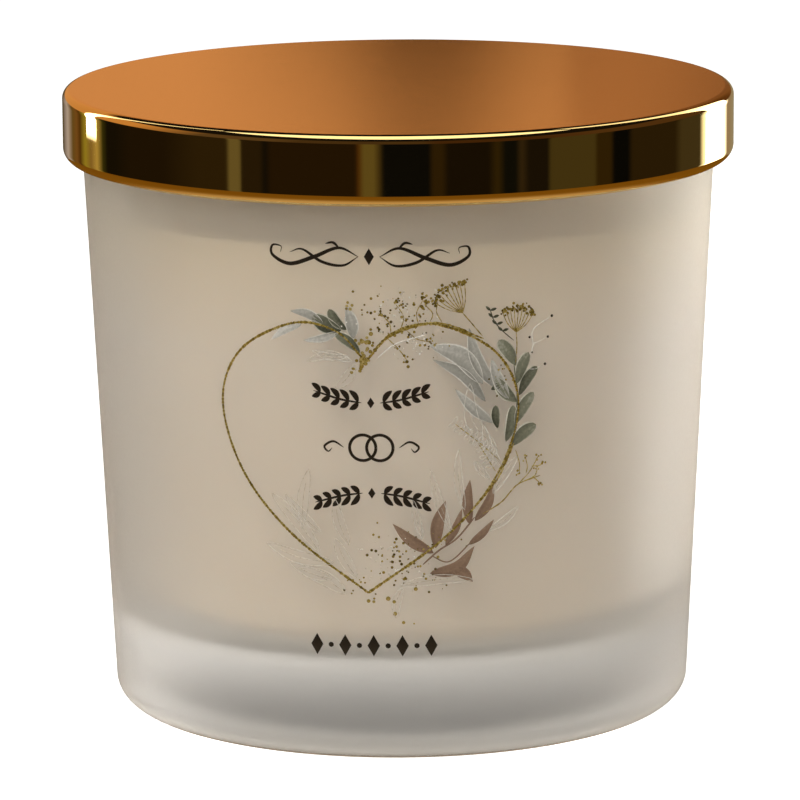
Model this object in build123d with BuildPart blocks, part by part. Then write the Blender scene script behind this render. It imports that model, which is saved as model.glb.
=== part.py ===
"""Wedding candle: wax with three wicks in a frosted glass tumbler, under a gold metal lid.

All sizes are in millimetres. The tumbler stands on Z = 0 with its axis on Z, and the printed
front faces -Y. The lid is modelled seated on the rim.
"""

import os
from math import cos, radians, sin

from build123d import *

# ---------------------------------------------------------------- driving dimensions
JAR_HEIGHT = 97.0
FOOT_RADIUS = 45.7  # the outer wall's radius where it would meet the table
RIM_RADIUS = 50.35  # the outer wall's radius at the rim
HEEL_FILLET = 4.0
FLOOR_HEIGHT = 15.5  # top of the heavy base, where the wax starts
FLOOR_RADIUS = 41.3
FLOOR_FILLET = 6.0
RIM_WALL = 3.3
RIM_FILLET = 1.3
PUNT_DEPTH = 1.5  # hollow under the base
PUNT_RADIUS = 35.0

WAX_TOP = 79.5
WAX_SHRINK = 0.1  # the wax draws away from the glass by this much as it sets
MENISCUS = 1.2

WICK_COUNT = 3
WICK_CIRCLE = 22.0  # radius of the circle that the wicks stand on
WICK_RADIUS = 1.2
WICK_TRIM = 6.0  # wick left standing above the wax
TAB_RADIUS = 10.0
TAB_SHEET = 0.3
TAB_RISE = 0.9  # the tab's centre is domed up by this much
NECK_HEIGHT = 6.0
STICKER_RADIUS = 9.5
STICKER_THICKNESS = 0.8

LID_TOP = 98.5
LID_RADIUS = 53.0
LID_SHEET = 0.4
LID_EDGE = 1.45  # outer radius of the rounded top edge
LID_DEPTH = 11.05  # from the flat top to the lowest point of the turned-in hem
HEM_RADIUS = 1.9
HEM_LAP = 45  # degrees of the hem's curve that the folded-back sheet covers

INSERT_RADIUS = 44.2  # outer radius of the pan pressed into the lid
INSERT_SHEET = 0.4
INSERT_DEPTH = 5.6
INSERT_LIP = 45.8  # radius of the lip that keeps the seal on the pan

SEAL_GAP = 0.3  # running clearance all round the seal
SEAL_BODY = 1.0
SEAL_FLANGE = 0.4  # thickness of the flange that lies over the rim
SEAL_FLANGE_RADIUS = 49.2
FIN_THICKNESS = 0.5
FIN_COUNT = 2

LABEL_RADIUS = 28.0
LABEL_THICKNESS = 0.2

INK = 0.12  # thickness of the raised print
STALK_LINE = 0.5
HEART_LINE = 0.9
HEART_CLEFT = 63.0
HEART_LOBE_TOP = (11.0, 68.8)
HEART_FLANK = (22.2, 49.2)  # where the round lobe runs into the straighter side
HEART_TIP = 27.2

RINGS_HEIGHT = 49.8
RING_RADIUS = 3.6
RING_OFFSET = 2.2  # from the front's centre line to each linked ring's centre
RING_LINE = 0.7
RULE_LINE = 0.5
RULE_ARM = 0.4  # length of a rule's line on either side, as a part of the rule's width
DIAMOND_RADIUS = 1.5

# Each rule of ornament: its height and its width.
RULES = ((79.6, 31.0), (57.0, 17.0), (42.9, 19.0), (18.8, 21.0))

# Each sprig: its foot, its heading in degrees, its stalk's length, its pairs of leaves, and
# their length.
GREEN_SPRIGS = (((-3, 61), 150, 9, 2, 6.0), ((22, 47), 88, 16, 4, 6.5))
ROSE_SPRIGS = (((11, 31.5), 52, 10, 3, 7.0), ((7, 26), 25, 9, 2, 6.0))
WHITE_SPRIGS = (((-10, 31.5), 128, 10, 3, 7.0), ((-7, 26), 155, 9, 2, 6.0))
LEAF_SPREAD = 42
LEAF_SAGITTA = 0.18  # height of a leaf's edge arc, as a part of the leaf's length

# ---------------------------------------------------------------- derived sizes
CAVITY_RADIUS = RIM_RADIUS - RIM_WALL
CEILING = LID_TOP - LID_SHEET
TAB_BASE = FLOOR_HEIGHT + STICKER_THICKNESS
NECK_BASE = TAB_BASE + TAB_SHEET + TAB_RISE
NECK_TOP = NECK_BASE + NECK_HEIGHT
NECK_RADIUS = WICK_RADIUS + TAB_SHEET
WICK_FOOT = NECK_BASE - TAB_SHEET
WICK_TOP = WAX_TOP + WICK_TRIM


def outer_radius(height):
    """Radius of the glass's outer wall at a height."""
    return FOOT_RADIUS + (RIM_RADIUS - FOOT_RADIUS) * height / JAR_HEIGHT


def cavity_radius(height):
    """Radius of the glass's inner wall at a height."""
    climb = (height - FLOOR_HEIGHT) / (JAR_HEIGHT - FLOOR_HEIGHT)
    return FLOOR_RADIUS + (CAVITY_RADIUS - FLOOR_RADIUS) * climb


def corner(sketch, x, y):
    """The sketch's vertex nearest to a point of the section."""
    return sketch.vertices().sort_by_distance((x, y, 0))[0]


def sprig_leaves(foot, heading, stalk, pairs, length):
    """The foot and tip of each leaf: pairs along the stalk, and one at its end."""
    leaves = []
    for step in range(pairs + 1):
        along = step * stalk / pairs
        node = (foot[0] + along * cos(radians(heading)), foot[1] + along * sin(radians(heading)))
        for spread in (0,) if step == pairs else (LEAF_SPREAD, -LEAF_SPREAD):
            turn = radians(heading + spread)
            leaves.append((node, (node[0] + length * cos(turn), node[1] + length * sin(turn))))
    return leaves


# ---------------------------------------------------------------- glass tumbler
with BuildPart() as glass_jar:
    with BuildSketch(Plane.XZ) as jar_section:
        with BuildLine():
            Polyline(
                (0, PUNT_DEPTH),
                (PUNT_RADIUS, PUNT_DEPTH),
                (PUNT_RADIUS + 2 * PUNT_DEPTH, 0),
                (FOOT_RADIUS, 0),
                (RIM_RADIUS, JAR_HEIGHT),
                (CAVITY_RADIUS, JAR_HEIGHT),
                (FLOOR_RADIUS, FLOOR_HEIGHT),
                (0, FLOOR_HEIGHT),
                close=True,
            )
        make_face()
        fillet(corner(jar_section, FOOT_RADIUS, 0), radius=HEEL_FILLET)
        fillet(corner(jar_section, FLOOR_RADIUS, FLOOR_HEIGHT), radius=FLOOR_FILLET)
        fillet(corner(jar_section, RIM_RADIUS, JAR_HEIGHT), radius=RIM_FILLET)
        fillet(corner(jar_section, CAVITY_RADIUS, JAR_HEIGHT), radius=RIM_FILLET)
    revolve(axis=Axis.Z)
glass_jar.part.label = "glass_jar"

# ---------------------------------------------------------------- wicks, their tabs and stickers
wick_places = []
wick_pieces = []
for number in range(1, WICK_COUNT + 1):
    bearing = radians(90 + 360 * number / WICK_COUNT)
    place = (WICK_CIRCLE * cos(bearing), WICK_CIRCLE * sin(bearing))
    upright = Axis((*place, 0), (0, 0, 1))
    section_plane = Plane((*place, 0), x_dir=(1, 0, 0), z_dir=(0, -1, 0))
    wick_places.append(place)

    with BuildPart() as wick_sticker:
        with BuildSketch(Plane((*place, FLOOR_HEIGHT))):
            Circle(STICKER_RADIUS)
        extrude(amount=STICKER_THICKNESS)
    wick_sticker.part.label = f"wick_sticker_{number}"

    with BuildPart() as wick_tab:
        with BuildSketch(section_plane):
            with BuildLine():
                Polyline(
                    (WICK_RADIUS, WICK_FOOT),
                    (2 * WICK_RADIUS, WICK_FOOT),
                    (TAB_RADIUS / 2, TAB_BASE),
                    (TAB_RADIUS, TAB_BASE),
                    (TAB_RADIUS, TAB_BASE + TAB_SHEET),
                    (TAB_RADIUS / 2, TAB_BASE + TAB_SHEET),
                    (2 * WICK_RADIUS, NECK_BASE),
                    (NECK_RADIUS, NECK_BASE),
                    (NECK_RADIUS, NECK_TOP),
                    (WICK_RADIUS, NECK_TOP),
                    close=True,
                )
            make_face()
        revolve(axis=upright)
    wick_tab.part.label = f"wick_tab_{number}"

    with BuildPart() as wick:
        with BuildSketch(Plane((*place, WICK_FOOT))):
            Circle(WICK_RADIUS)
        extrude(amount=WICK_TOP - WICK_FOOT)
        chamfer(wick.faces().sort_by(Axis.Z)[-1].edges(), length=WICK_RADIUS / 3)
    wick.part.label = f"wick_{number}"

    wick_pieces += [wick_sticker.part, wick_tab.part, wick.part]

# ---------------------------------------------------------------- wax, poured round the wicks
with BuildPart() as wax_fill:
    with BuildSketch(Plane.XZ) as wax_section:
        with BuildLine():
            Polyline(
                (0, FLOOR_HEIGHT),
                (FLOOR_RADIUS - WAX_SHRINK, FLOOR_HEIGHT),
                (cavity_radius(WAX_TOP + MENISCUS) - WAX_SHRINK, WAX_TOP + MENISCUS),
                (cavity_radius(WAX_TOP) - WAX_SHRINK - 2 * MENISCUS, WAX_TOP),
                (0, WAX_TOP),
                close=True,
            )
        make_face()
        fillet(corner(wax_section, FLOOR_RADIUS, FLOOR_HEIGHT), radius=FLOOR_FILLET)
        fillet(corner(wax_section, cavity_radius(WAX_TOP) - 2 * MENISCUS, WAX_TOP), radius=3 * MENISCUS)
    revolve(axis=Axis.Z)
    for place in wick_places:
        # The solid that the sticker, the tab and the wick fill together.
        with BuildSketch(Plane((*place, 0), x_dir=(1, 0, 0), z_dir=(0, -1, 0))):
            with BuildLine():
                Polyline(
                    (0, FLOOR_HEIGHT),
                    (TAB_RADIUS, FLOOR_HEIGHT),
                    (TAB_RADIUS, TAB_BASE + TAB_SHEET),
                    (TAB_RADIUS / 2, TAB_BASE + TAB_SHEET),
                    (2 * WICK_RADIUS, NECK_BASE),
                    (NECK_RADIUS, NECK_BASE),
                    (NECK_RADIUS, NECK_TOP),
                    (WICK_RADIUS, NECK_TOP),
                    (WICK_RADIUS, WICK_TOP),
                    (0, WICK_TOP),
                    close=True,
                )
            make_face()
        revolve(axis=Axis((*place, 0), (0, 0, 1)), mode=Mode.SUBTRACT)
wax_fill.part.label = "wax_fill"

# ---------------------------------------------------------------- blank sticker in the punt
with BuildPart() as base_label:
    with BuildSketch(Plane.XY.offset(PUNT_DEPTH - LABEL_THICKNESS)):
        Circle(LABEL_RADIUS)
    extrude(amount=LABEL_THICKNESS)
base_label.part.label = "base_label"

# ---------------------------------------------------------------- lid: drawn shell with a folded hem
hem_centre = (LID_RADIUS - HEM_RADIUS, LID_TOP - LID_DEPTH + HEM_RADIUS)
fold_centre = (hem_centre[0], LID_TOP - LID_DEPTH + LID_SHEET)
edge_centre = (LID_RADIUS - LID_EDGE, LID_TOP - LID_EDGE)
skin_radius = LID_RADIUS - LID_SHEET

with BuildPart() as lid_shell:
    with BuildSketch(Plane.XZ):
        with BuildLine():
            Line((0, LID_TOP), (edge_centre[0], LID_TOP))
            CenterArc(edge_centre, LID_EDGE, 90, -90)
            Line((LID_RADIUS, edge_centre[1]), (LID_RADIUS, hem_centre[1]))
            CenterArc(hem_centre, HEM_RADIUS, 0, -90)
            CenterArc(fold_centre, LID_SHEET, -90, -180)
            lap = CenterArc(hem_centre, HEM_RADIUS - 2 * LID_SHEET, -90, HEM_LAP)
            curve = CenterArc(hem_centre, HEM_RADIUS - LID_SHEET, HEM_LAP - 90, 90 - HEM_LAP)
            Line(lap @ 1, curve @ 0)
            Line((skin_radius, hem_centre[1]), (skin_radius, edge_centre[1]))
            CenterArc(edge_centre, LID_EDGE - LID_SHEET, 0, 90)
            Line((edge_centre[0], CEILING), (0, CEILING))
            Line((0, CEILING), (0, LID_TOP))
        make_face()
    revolve(axis=Axis.Z)
lid_shell.part.label = "lid_shell"

# ---------------------------------------------------------------- pan pressed inside the lid
pan_bottom = CEILING - INSERT_DEPTH

with BuildPart() as lid_insert:
    with BuildSketch(Plane.XZ):
        with BuildLine():
            Polyline(
                (0, CEILING),
                (INSERT_RADIUS, CEILING),
                (INSERT_RADIUS, pan_bottom + INSERT_SHEET),
                (INSERT_LIP, pan_bottom + INSERT_SHEET),
                (INSERT_LIP, pan_bottom),
                (INSERT_RADIUS - INSERT_SHEET, pan_bottom),
                (INSERT_RADIUS - INSERT_SHEET, CEILING - INSERT_SHEET),
                (0, CEILING - INSERT_SHEET),
                close=True,
            )
        make_face()
    revolve(axis=Axis.Z)
lid_insert.part.label = "lid_insert"

# ---------------------------------------------------------------- silicone ring round the pan
seal_inner = INSERT_RADIUS + SEAL_GAP
seal_outer = seal_inner + SEAL_BODY
seal_top = CEILING - SEAL_GAP
seal_bottom = pan_bottom + INSERT_SHEET + SEAL_GAP
fin_pitch = (seal_top - SEAL_FLANGE - seal_bottom) / FIN_COUNT

with BuildPart() as lid_seal:
    with BuildSketch(Plane.XZ):
        with BuildLine():
            Polyline(
                (seal_inner, seal_bottom),
                (seal_outer, seal_bottom),
                (seal_outer, seal_top - SEAL_FLANGE),
                (SEAL_FLANGE_RADIUS, seal_top - SEAL_FLANGE),
                (SEAL_FLANGE_RADIUS, seal_top),
                (seal_inner, seal_top),
                close=True,
            )
        make_face()
        for fin in range(FIN_COUNT):
            root = seal_bottom + fin * fin_pitch
            tip = cavity_radius(root) - SEAL_GAP
            with BuildLine():
                Polyline(
                    (seal_inner, root),
                    (tip, root + FIN_THICKNESS),
                    (tip, root + 2 * FIN_THICKNESS),
                    (seal_inner, root + 2 * FIN_THICKNESS),
                    close=True,
                )
            make_face()
    revolve(axis=Axis.Z)
lid_seal.part.label = "lid_seal"

# ---------------------------------------------------------------- raised print on the front
# Each colour of ink is drawn flat on the XZ plane and cut out of this thin skin round the glass.
with BuildPart() as ink_skin:
    with BuildSketch(Plane.XZ):
        with BuildLine():
            Polyline(
                (outer_radius(HEEL_FILLET), HEEL_FILLET),
                (outer_radius(HEEL_FILLET) + INK, HEEL_FILLET),
                (outer_radius(JAR_HEIGHT - LID_DEPTH) + INK, JAR_HEIGHT - LID_DEPTH),
                (outer_radius(JAR_HEIGHT - LID_DEPTH), JAR_HEIGHT - LID_DEPTH),
                close=True,
            )
        make_face()
    revolve(axis=Axis.Z)

with BuildPart() as print_heart:
    with BuildSketch(Plane.XZ):
        with BuildLine():
            lobe = ThreePointArc((0, HEART_CLEFT), HEART_LOBE_TOP, HEART_FLANK)
            TangentArc(lobe @ 1, (0, HEART_TIP), tangent=lobe % 1)
            mirror(about=Plane.YZ)
        make_face()
        offset(amount=-HEART_LINE, mode=Mode.SUBTRACT)
    extrude(amount=2 * RIM_RADIUS)
    add(ink_skin.part, mode=Mode.INTERSECT)
print_heart.part.label = "print_heart"

leaf_prints = []
for colour, sprigs in (("green", GREEN_SPRIGS), ("rose", ROSE_SPRIGS), ("white", WHITE_SPRIGS)):
    with BuildPart() as print_leaves:
        with BuildSketch(Plane.XZ):
            for foot, heading, stalk, pairs, length in sprigs:
                with BuildLine() as stem:
                    PolarLine(foot, stalk, heading)
                trace(stem.edges(), line_width=STALK_LINE)
                for start, end in sprig_leaves(foot, heading, stalk, pairs, length):
                    with BuildLine():
                        SagittaArc(start, end, LEAF_SAGITTA * length)
                        SagittaArc(end, start, LEAF_SAGITTA * length)
                    make_face()
        extrude(amount=2 * RIM_RADIUS)
        add(ink_skin.part, mode=Mode.INTERSECT)
        add(print_heart.part, mode=Mode.SUBTRACT)
    print_leaves.part.label = f"print_leaves_{colour}"
    leaf_prints.append(print_leaves.part)

with BuildPart() as print_ornaments:
    with BuildSketch(Plane.XZ):
        for side in (-1, 1):
            with BuildLine() as ring:
                CenterArc((side * RING_OFFSET, RINGS_HEIGHT), RING_RADIUS, 0, 360)
            trace(ring.edges(), line_width=RING_LINE)
        for height, width in RULES:
            arm_centre = (1 - RULE_ARM) * width / 2
            with Locations((0, height)):
                RegularPolygon(radius=DIAMOND_RADIUS, side_count=4)
            with Locations((-arm_centre, height), (arm_centre, height)):
                Rectangle(RULE_ARM * width, RULE_LINE)
    extrude(amount=2 * RIM_RADIUS)
    add(ink_skin.part, mode=Mode.INTERSECT)
print_ornaments.part.label = "print_ornaments"

# ---------------------------------------------------------------- one STEP file per piece
single_pieces = (
    glass_jar, wax_fill, base_label, print_heart, print_ornaments, lid_seal, lid_shell, lid_insert,
)

os.makedirs("parts", exist_ok=True)
for piece in (*(single.part for single in single_pieces), *wick_pieces, *leaf_prints):
    export_step(piece, f"parts/{piece.label}.step")
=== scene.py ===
"""Looks for the lidded wedding candle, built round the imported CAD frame."""

import math
import random

import bpy
import numpy as np
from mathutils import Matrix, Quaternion, Vector


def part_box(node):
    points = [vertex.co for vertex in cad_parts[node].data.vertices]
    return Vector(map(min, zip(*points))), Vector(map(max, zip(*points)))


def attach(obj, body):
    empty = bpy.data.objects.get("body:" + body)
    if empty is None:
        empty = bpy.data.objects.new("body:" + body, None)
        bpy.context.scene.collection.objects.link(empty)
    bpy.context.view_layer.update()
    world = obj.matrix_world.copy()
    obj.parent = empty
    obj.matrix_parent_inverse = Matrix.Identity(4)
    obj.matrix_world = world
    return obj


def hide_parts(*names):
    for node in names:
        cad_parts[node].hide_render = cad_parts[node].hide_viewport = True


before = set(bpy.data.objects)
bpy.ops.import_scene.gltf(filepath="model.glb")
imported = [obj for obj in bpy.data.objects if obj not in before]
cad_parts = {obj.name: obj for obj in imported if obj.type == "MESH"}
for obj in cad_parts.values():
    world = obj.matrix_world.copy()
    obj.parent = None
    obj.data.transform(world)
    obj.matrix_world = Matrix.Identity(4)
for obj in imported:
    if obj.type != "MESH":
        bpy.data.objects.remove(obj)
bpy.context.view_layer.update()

MM = 0.001

# -------------------------------- sizes, in millimetres, from the frame where it states them
_, jar_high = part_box("glass_jar")
lid_low, lid_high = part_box("lid_shell")
wax_low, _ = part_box("wax_fill")
JAR_HEIGHT = jar_high.z / MM
RIM_RADIUS = 50.35
FOOT_RADIUS = 45.7
LID_RADIUS = lid_high.x / MM
LID_TOP = lid_high.z / MM
LID_BOTTOM = lid_low.z / MM
LID_SHEET = 0.4
LID_EDGE = 1.45
HEM_RADIUS = 1.9
HEM_LAP = 45  # degrees
INSIDE_WALL = 1.5  # how far in the glass turns from frosted to clear


def outer_radius(z):
    """Radius of the glass's outer wall at a height, in millimetres."""
    return FOOT_RADIUS + (RIM_RADIUS - FOOT_RADIUS) * z / JAR_HEIGHT


# -------------------------------- camera
CAMERA_AZIMUTH = math.radians(5.6)
CAMERA_PITCH = math.radians(11.58)
CAMERA_ROLL = math.radians(0.38)
CAMERA_REACH = 0.866
CAMERA_HEIGHT = 0.225
LENS = 248.9


def make_camera():
    data = bpy.data.cameras.new("camera")
    data.lens = LENS
    data.sensor_width = 36
    data.clip_start = 0.05
    camera = bpy.data.objects.new("camera", data)
    bpy.context.scene.collection.objects.link(camera)
    sine, cosine = math.sin(CAMERA_AZIMUTH), math.cos(CAMERA_AZIMUTH)
    camera.location = (CAMERA_REACH * sine, -CAMERA_REACH * cosine, CAMERA_HEIGHT)
    level = math.cos(CAMERA_PITCH)
    ahead = Vector((-sine * level, cosine * level, -math.sin(CAMERA_PITCH)))
    camera.rotation_mode = "QUATERNION"
    camera.rotation_quaternion = Quaternion(ahead, CAMERA_ROLL) @ ahead.to_track_quat("-Z", "Y")
    bpy.context.scene.camera = camera


make_camera()


# -------------------------------- shader building
class Nodes:
    """Short ways to add nodes to a tree."""

    def __init__(self, tree):
        self.tree = tree

    def add(self, kind, inputs=(), **properties):
        """A node, with constants or links given to its inputs by name or number."""
        node = self.tree.nodes.new("ShaderNode" + kind)
        for key, value in properties.items():
            setattr(node, key, value)
        for key, value in dict(inputs).items():
            if isinstance(value, bpy.types.NodeSocket):
                self.tree.links.new(value, node.inputs[key])
            else:
                node.inputs[key].default_value = value
        return node

    def math(self, operation, a, b=0.0, clamp=False):
        return self.add("Math", {0: a, 1: b}, operation=operation, use_clamp=clamp).outputs[0]

    def times(self, a, b):
        return self.math("MULTIPLY", a, b)

    def vector(self, operation, a, b):
        """A number from two vectors."""
        return self.add("VectorMath", {0: a, 1: b}, operation=operation).outputs["Value"]

    def remap(self, value, low, high, to_low=0.0, to_high=1.0):
        return self.add(
            "MapRange",
            {"Value": value, "From Min": low, "From Max": high, "To Min": to_low, "To Max": to_high},
        ).outputs[0]

    def ramp(self, value, stops):
        """A colour ramp through (position, colour) stops."""
        node = self.add("ValToRGB", {"Fac": value})
        elements = node.color_ramp.elements
        while len(elements) < len(stops):
            elements.new(0.5)
        for element, (place, colour) in zip(elements, stops):
            element.position = place
            element.color = (*colour, 1)
        return node.outputs[0]

    def blend(self, factor, a, b):
        """Colours a to b by a factor."""
        node = self.add("Mix", data_type="RGBA")
        for index, value in ((0, factor), (6, a), (7, b)):
            if isinstance(value, bpy.types.NodeSocket):
                self.tree.links.new(value, node.inputs[index])
            elif index == 0:
                node.inputs[index].default_value = value
            else:
                node.inputs[index].default_value = (*value, 1)
        return node.outputs[2]

    def between(self, factor, a, b):
        """Numbers a to b by a factor."""
        return self.add("Mix", {0: factor, 2: a, 3: b}, data_type="FLOAT").outputs[0]

    def choose(self, flag, a, b):
        """Closure b where the flag is set, and a elsewhere."""
        return self.add("MixShader", {0: flag, 1: a, 2: b}).outputs[0]


class Shader(Nodes):
    """A material with a Principled shader."""

    def __init__(self, name, **settings):
        self.material = bpy.data.materials.new(name)
        self.material.use_nodes = True
        super().__init__(self.material.node_tree)
        self.bsdf = self.tree.nodes["Principled BSDF"]
        for key, value in settings.items():
            self.bsdf.inputs[key.replace("_", " ")].default_value = value

    def link(self, socket, name):
        self.tree.links.new(socket, self.bsdf.inputs[name])

    def show(self, closure):
        """Puts another closure in the Principled shader's place."""
        self.tree.links.new(closure, self.tree.nodes["Material Output"].inputs[0])

    def emission(self, colour, strength=1.0):
        return self.add("Emission", {"Color": colour, "Strength": strength}).outputs[0]

    def position(self, scale=(1, 1, 1)):
        """The surface point in object space, stretched for a texture."""
        coordinates = self.add("TexCoord").outputs["Object"]
        return self.add("Mapping", {"Vector": coordinates, "Scale": scale}).outputs[0]

    def axes(self):
        """The surface point's x, y and z."""
        return self.add("SeparateXYZ", {0: self.position()}).outputs

    def radius(self):
        """The surface point's distance from the candle's axis."""
        x, y, _ = self.axes()
        squares = self.math("ADD", self.times(x, x), self.times(y, y))
        return self.math("SQRT", squares)

    def noise(self, scale, detail=2.0, stretch=(1, 1, 1)):
        inputs = {"Vector": self.position(stretch), "Scale": scale, "Detail": detail}
        return self.add("TexNoise", inputs).outputs[0]

    def bump(self, height, distance, strength=1.0, after=None):
        """A bump of this many metres, on top of an earlier one if there is one."""
        inputs = {"Height": height, "Distance": distance, "Strength": strength}
        if after is not None:
            inputs["Normal"] = after
        return self.add("Bump", inputs).outputs[0]


def frosted_glass():
    """Acid-etched outside with a milky bloom, fire-polished inside."""
    shader = Shader("frosted_glass", Transmission_Weight=0.78, IOR=1.5)
    z = shader.axes()[2]
    slope = shader.times(z, (RIM_RADIUS - FOOT_RADIUS) / JAR_HEIGHT)
    wall = shader.math("ADD", slope, (FOOT_RADIUS - INSIDE_WALL) * MM)
    outside = shader.remap(shader.math("SUBTRACT", shader.radius(), wall), -0.5 * MM, 0.5 * MM)
    grain = shader.noise(1800, 3)
    rough = shader.remap(grain, 0.3, 0.7, 0.46, 0.56)
    shader.link(shader.between(outside, 0.06, rough), "Roughness")
    shader.link(shader.bump(grain, 0.00003, 0.35), "Normal")
    # Glass colour by height, with painted shade: darker at the heel, and warmer and dimmer under the lid.
    # The thick base is left neutral.
    tint = shader.ramp(
        shader.remap(z, 0, lid_low.z),
        (
            (0.012, (0.80, 0.78, 0.74)),
            (0.05, (0.96, 0.955, 0.945)),
            (0.155, (0.95, 0.94, 0.92)),
            (0.20, (0.92, 0.885, 0.83)),
            (0.72, (0.93, 0.895, 0.84)),
            (0.92, (0.93, 0.875, 0.77)),
        ),
    )
    shader.link(tint, "Base Color")
    return shader.material


def wax():
    """Poured wax, slightly clouded, and a little darker in its foot from painted shade."""
    shader = Shader(
        "wax",
        Subsurface_Weight=0.35,
        Subsurface_Radius=(0.006, 0.0045, 0.003),
        Subsurface_Scale=1.0,
        Specular_IOR_Level=0.4,
        Roughness=0.42,
    )
    cloud = shader.noise(60, 4)
    colour = shader.ramp(cloud, ((0.3, (0.70, 0.59, 0.45)), (0.7, (0.76, 0.66, 0.53))))
    # Painted shade: the wax darkens towards its foot, where its rounded edge meets the glass floor.
    foot = shader.remap(shader.axes()[2], wax_low.z + 6 * MM, wax_low.z, 0.0, 0.1)
    shader.link(shader.blend(foot, colour, (0.42, 0.31, 0.21)), "Base Color")
    shader.link(shader.bump(shader.noise(220, 4), 0.0002, 0.5), "Normal")
    return shader.material


def gold(name, colour, roughness):
    """Plated metal, polished, with faint handling marks."""
    shader = Shader(name, Metallic=1.0)
    smudge = shader.noise(45, 4)
    shader.link(shader.remap(smudge, 0.35, 0.75, roughness, roughness * 2.2), "Roughness")
    dull = tuple(0.93 * part for part in colour)
    shader.link(shader.blend(smudge, dull, colour), "Base Color")
    shader.link(shader.bump(shader.noise(28, 1), 0.00004, 0.5), "Normal")
    return shader.material


def lid_metal():
    """Polished side and hem, with a satin, finely brushed top."""
    shader = Shader("lid_metal", Metallic=1.0)
    high = shader.remap(shader.axes()[2], (LID_TOP - 0.25) * MM, (LID_TOP - 0.1) * MM)
    inner = shader.remap(shader.radius(), (LID_RADIUS - 0.8) * MM, (LID_RADIUS - 1.1) * MM)
    top = shader.times(high, inner)
    brushing = shader.noise(1.0, 3, (260, 5200, 260))
    smudge = shader.noise(50, 4)
    satin = shader.remap(brushing, 0.25, 0.75, 0.15, 0.20)
    polish = shader.remap(smudge, 0.4, 0.8, 0.02, 0.06)
    shader.link(shader.between(top, polish, satin), "Roughness")
    copper = shader.ramp(brushing, ((0.25, (0.86, 0.57, 0.25)), (0.75, (0.93, 0.64, 0.31))))
    specks = shader.add("TexVoronoi", {"Vector": shader.position(), "Scale": 330.0}, feature="F1")
    size = shader.times(shader.math("GREATER_THAN", shader.noise(140, 1), 0.6), 0.07)
    dust = shader.times(shader.math("LESS_THAN", specks.outputs["Distance"], size), top)
    plated = shader.blend(top, (0.93, 0.70, 0.30), copper)
    shader.link(shader.blend(dust, plated, (0.95, 0.86, 0.72)), "Base Color")
    brushed = shader.bump(shader.times(brushing, top), 0.00002, 0.6)
    wavy = shader.noise(30, 1, (1, 1, 0.5))
    shader.link(shader.bump(wavy, 0.00005, 0.5, after=brushed), "Normal")
    return shader.material


def silicone():
    """Milky seal rubber."""
    softness = (2 * MM, 2 * MM, 2 * MM)
    shader = Shader("silicone", Roughness=0.5, Subsurface_Weight=0.3, Subsurface_Radius=softness)
    shader.link(shader.bump(shader.noise(900, 2), 0.00003, 0.4), "Normal")
    tint = shader.ramp(shader.noise(120, 2), ((0.3, (0.80, 0.79, 0.74)), (0.7, (0.87, 0.86, 0.82))))
    shader.link(tint, "Base Color")
    return shader.material


def tinplate():
    """Pressed tin, streaked by the rolls."""
    shader = Shader("tinplate", Metallic=1.0)
    streaks = shader.noise(700, 3)
    shader.link(shader.remap(streaks, 0.3, 0.7, 0.22, 0.4), "Roughness")
    tint = shader.ramp(streaks, ((0.3, (0.62, 0.62, 0.61)), (0.7, (0.76, 0.76, 0.75))))
    shader.link(tint, "Base Color")
    return shader.material


def paper(name, colour, grain):
    """Matt paper or foam, with a fine grain."""
    shader = Shader(name, Roughness=0.7)
    fibre = shader.noise(grain, 4)
    shade = tuple(0.95 * part for part in colour)
    shader.link(shader.ramp(fibre, ((0.3, shade), (0.7, colour))), "Base Color")
    shader.link(shader.bump(fibre, 0.00004, 0.5), "Normal")
    return shader.material


def cotton():
    """Bleached cotton yarn."""
    shader = Shader("cotton", Roughness=0.85)
    fibre = shader.noise(2600, 3)
    tint = shader.ramp(fibre, ((0.3, (0.80, 0.76, 0.66)), (0.7, (0.93, 0.90, 0.83))))
    shader.link(tint, "Base Color")
    shader.link(shader.bump(fibre, 0.00008, 0.7), "Normal")
    return shader.material


def ink(name, dark, middle, pale, roughness=0.4, metallic=0.0, grain=2500):
    """Raised ink whose tone follows the mesh's tint attribute, with fine variation."""
    shader = Shader(name, Metallic=metallic)
    tint = shader.add("Attribute", attribute_name="tint").outputs["Fac"]
    wash = shader.times(shader.math("SUBTRACT", shader.noise(grain, 3), 0.5), 0.5)
    tone = shader.math("ADD", tint, wash, clamp=True)
    shader.link(shader.ramp(tone, ((0.0, dark), (0.5, middle), (1.0, pale))), "Base Color")
    shader.link(shader.remap(tone, 0, 1, roughness * 1.2, roughness * 0.8), "Roughness")
    shader.link(shader.bump(shader.noise(grain, 2), 0.00003, 0.5), "Normal")
    return shader.material


# -------------------------------- meshes
def make_object(name, points, faces, material, smooth=True):
    """A mesh object from points in millimetres."""
    mesh = bpy.data.meshes.new(name)
    mesh.from_pydata([tuple(MM * part for part in point) for point in points], [], faces)
    mesh.materials.append(material)
    mesh.validate()
    mesh.polygons.foreach_set("use_smooth", [smooth] * len(mesh.polygons))
    piece = bpy.data.objects.new(name, mesh)
    bpy.context.scene.collection.objects.link(piece)
    return piece


def lathe(name, profile, material, segments=384):
    """A solid of revolution about Z from a closed profile of (radius, height) points."""
    points, faces, rings = [], [], []
    for radius, height in profile:
        if radius == 0:
            rings.append([len(points)] * segments)
            points.append((0, 0, height))
            continue
        rings.append(list(range(len(points), len(points) + segments)))
        for step in range(segments):
            angle = 2 * math.pi * step / segments
            points.append((radius * math.cos(angle), radius * math.sin(angle), height))
    for lower, upper in zip(rings, rings[1:] + rings[:1]):
        for step in range(segments):
            after = (step + 1) % segments
            corners = [lower[step], lower[after], upper[after], upper[step]]
            face = [corner for place, corner in enumerate(corners) if corner not in corners[:place]]
            if len(face) > 2:
                faces.append(face)
    return make_object(name, points, faces, material)


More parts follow.
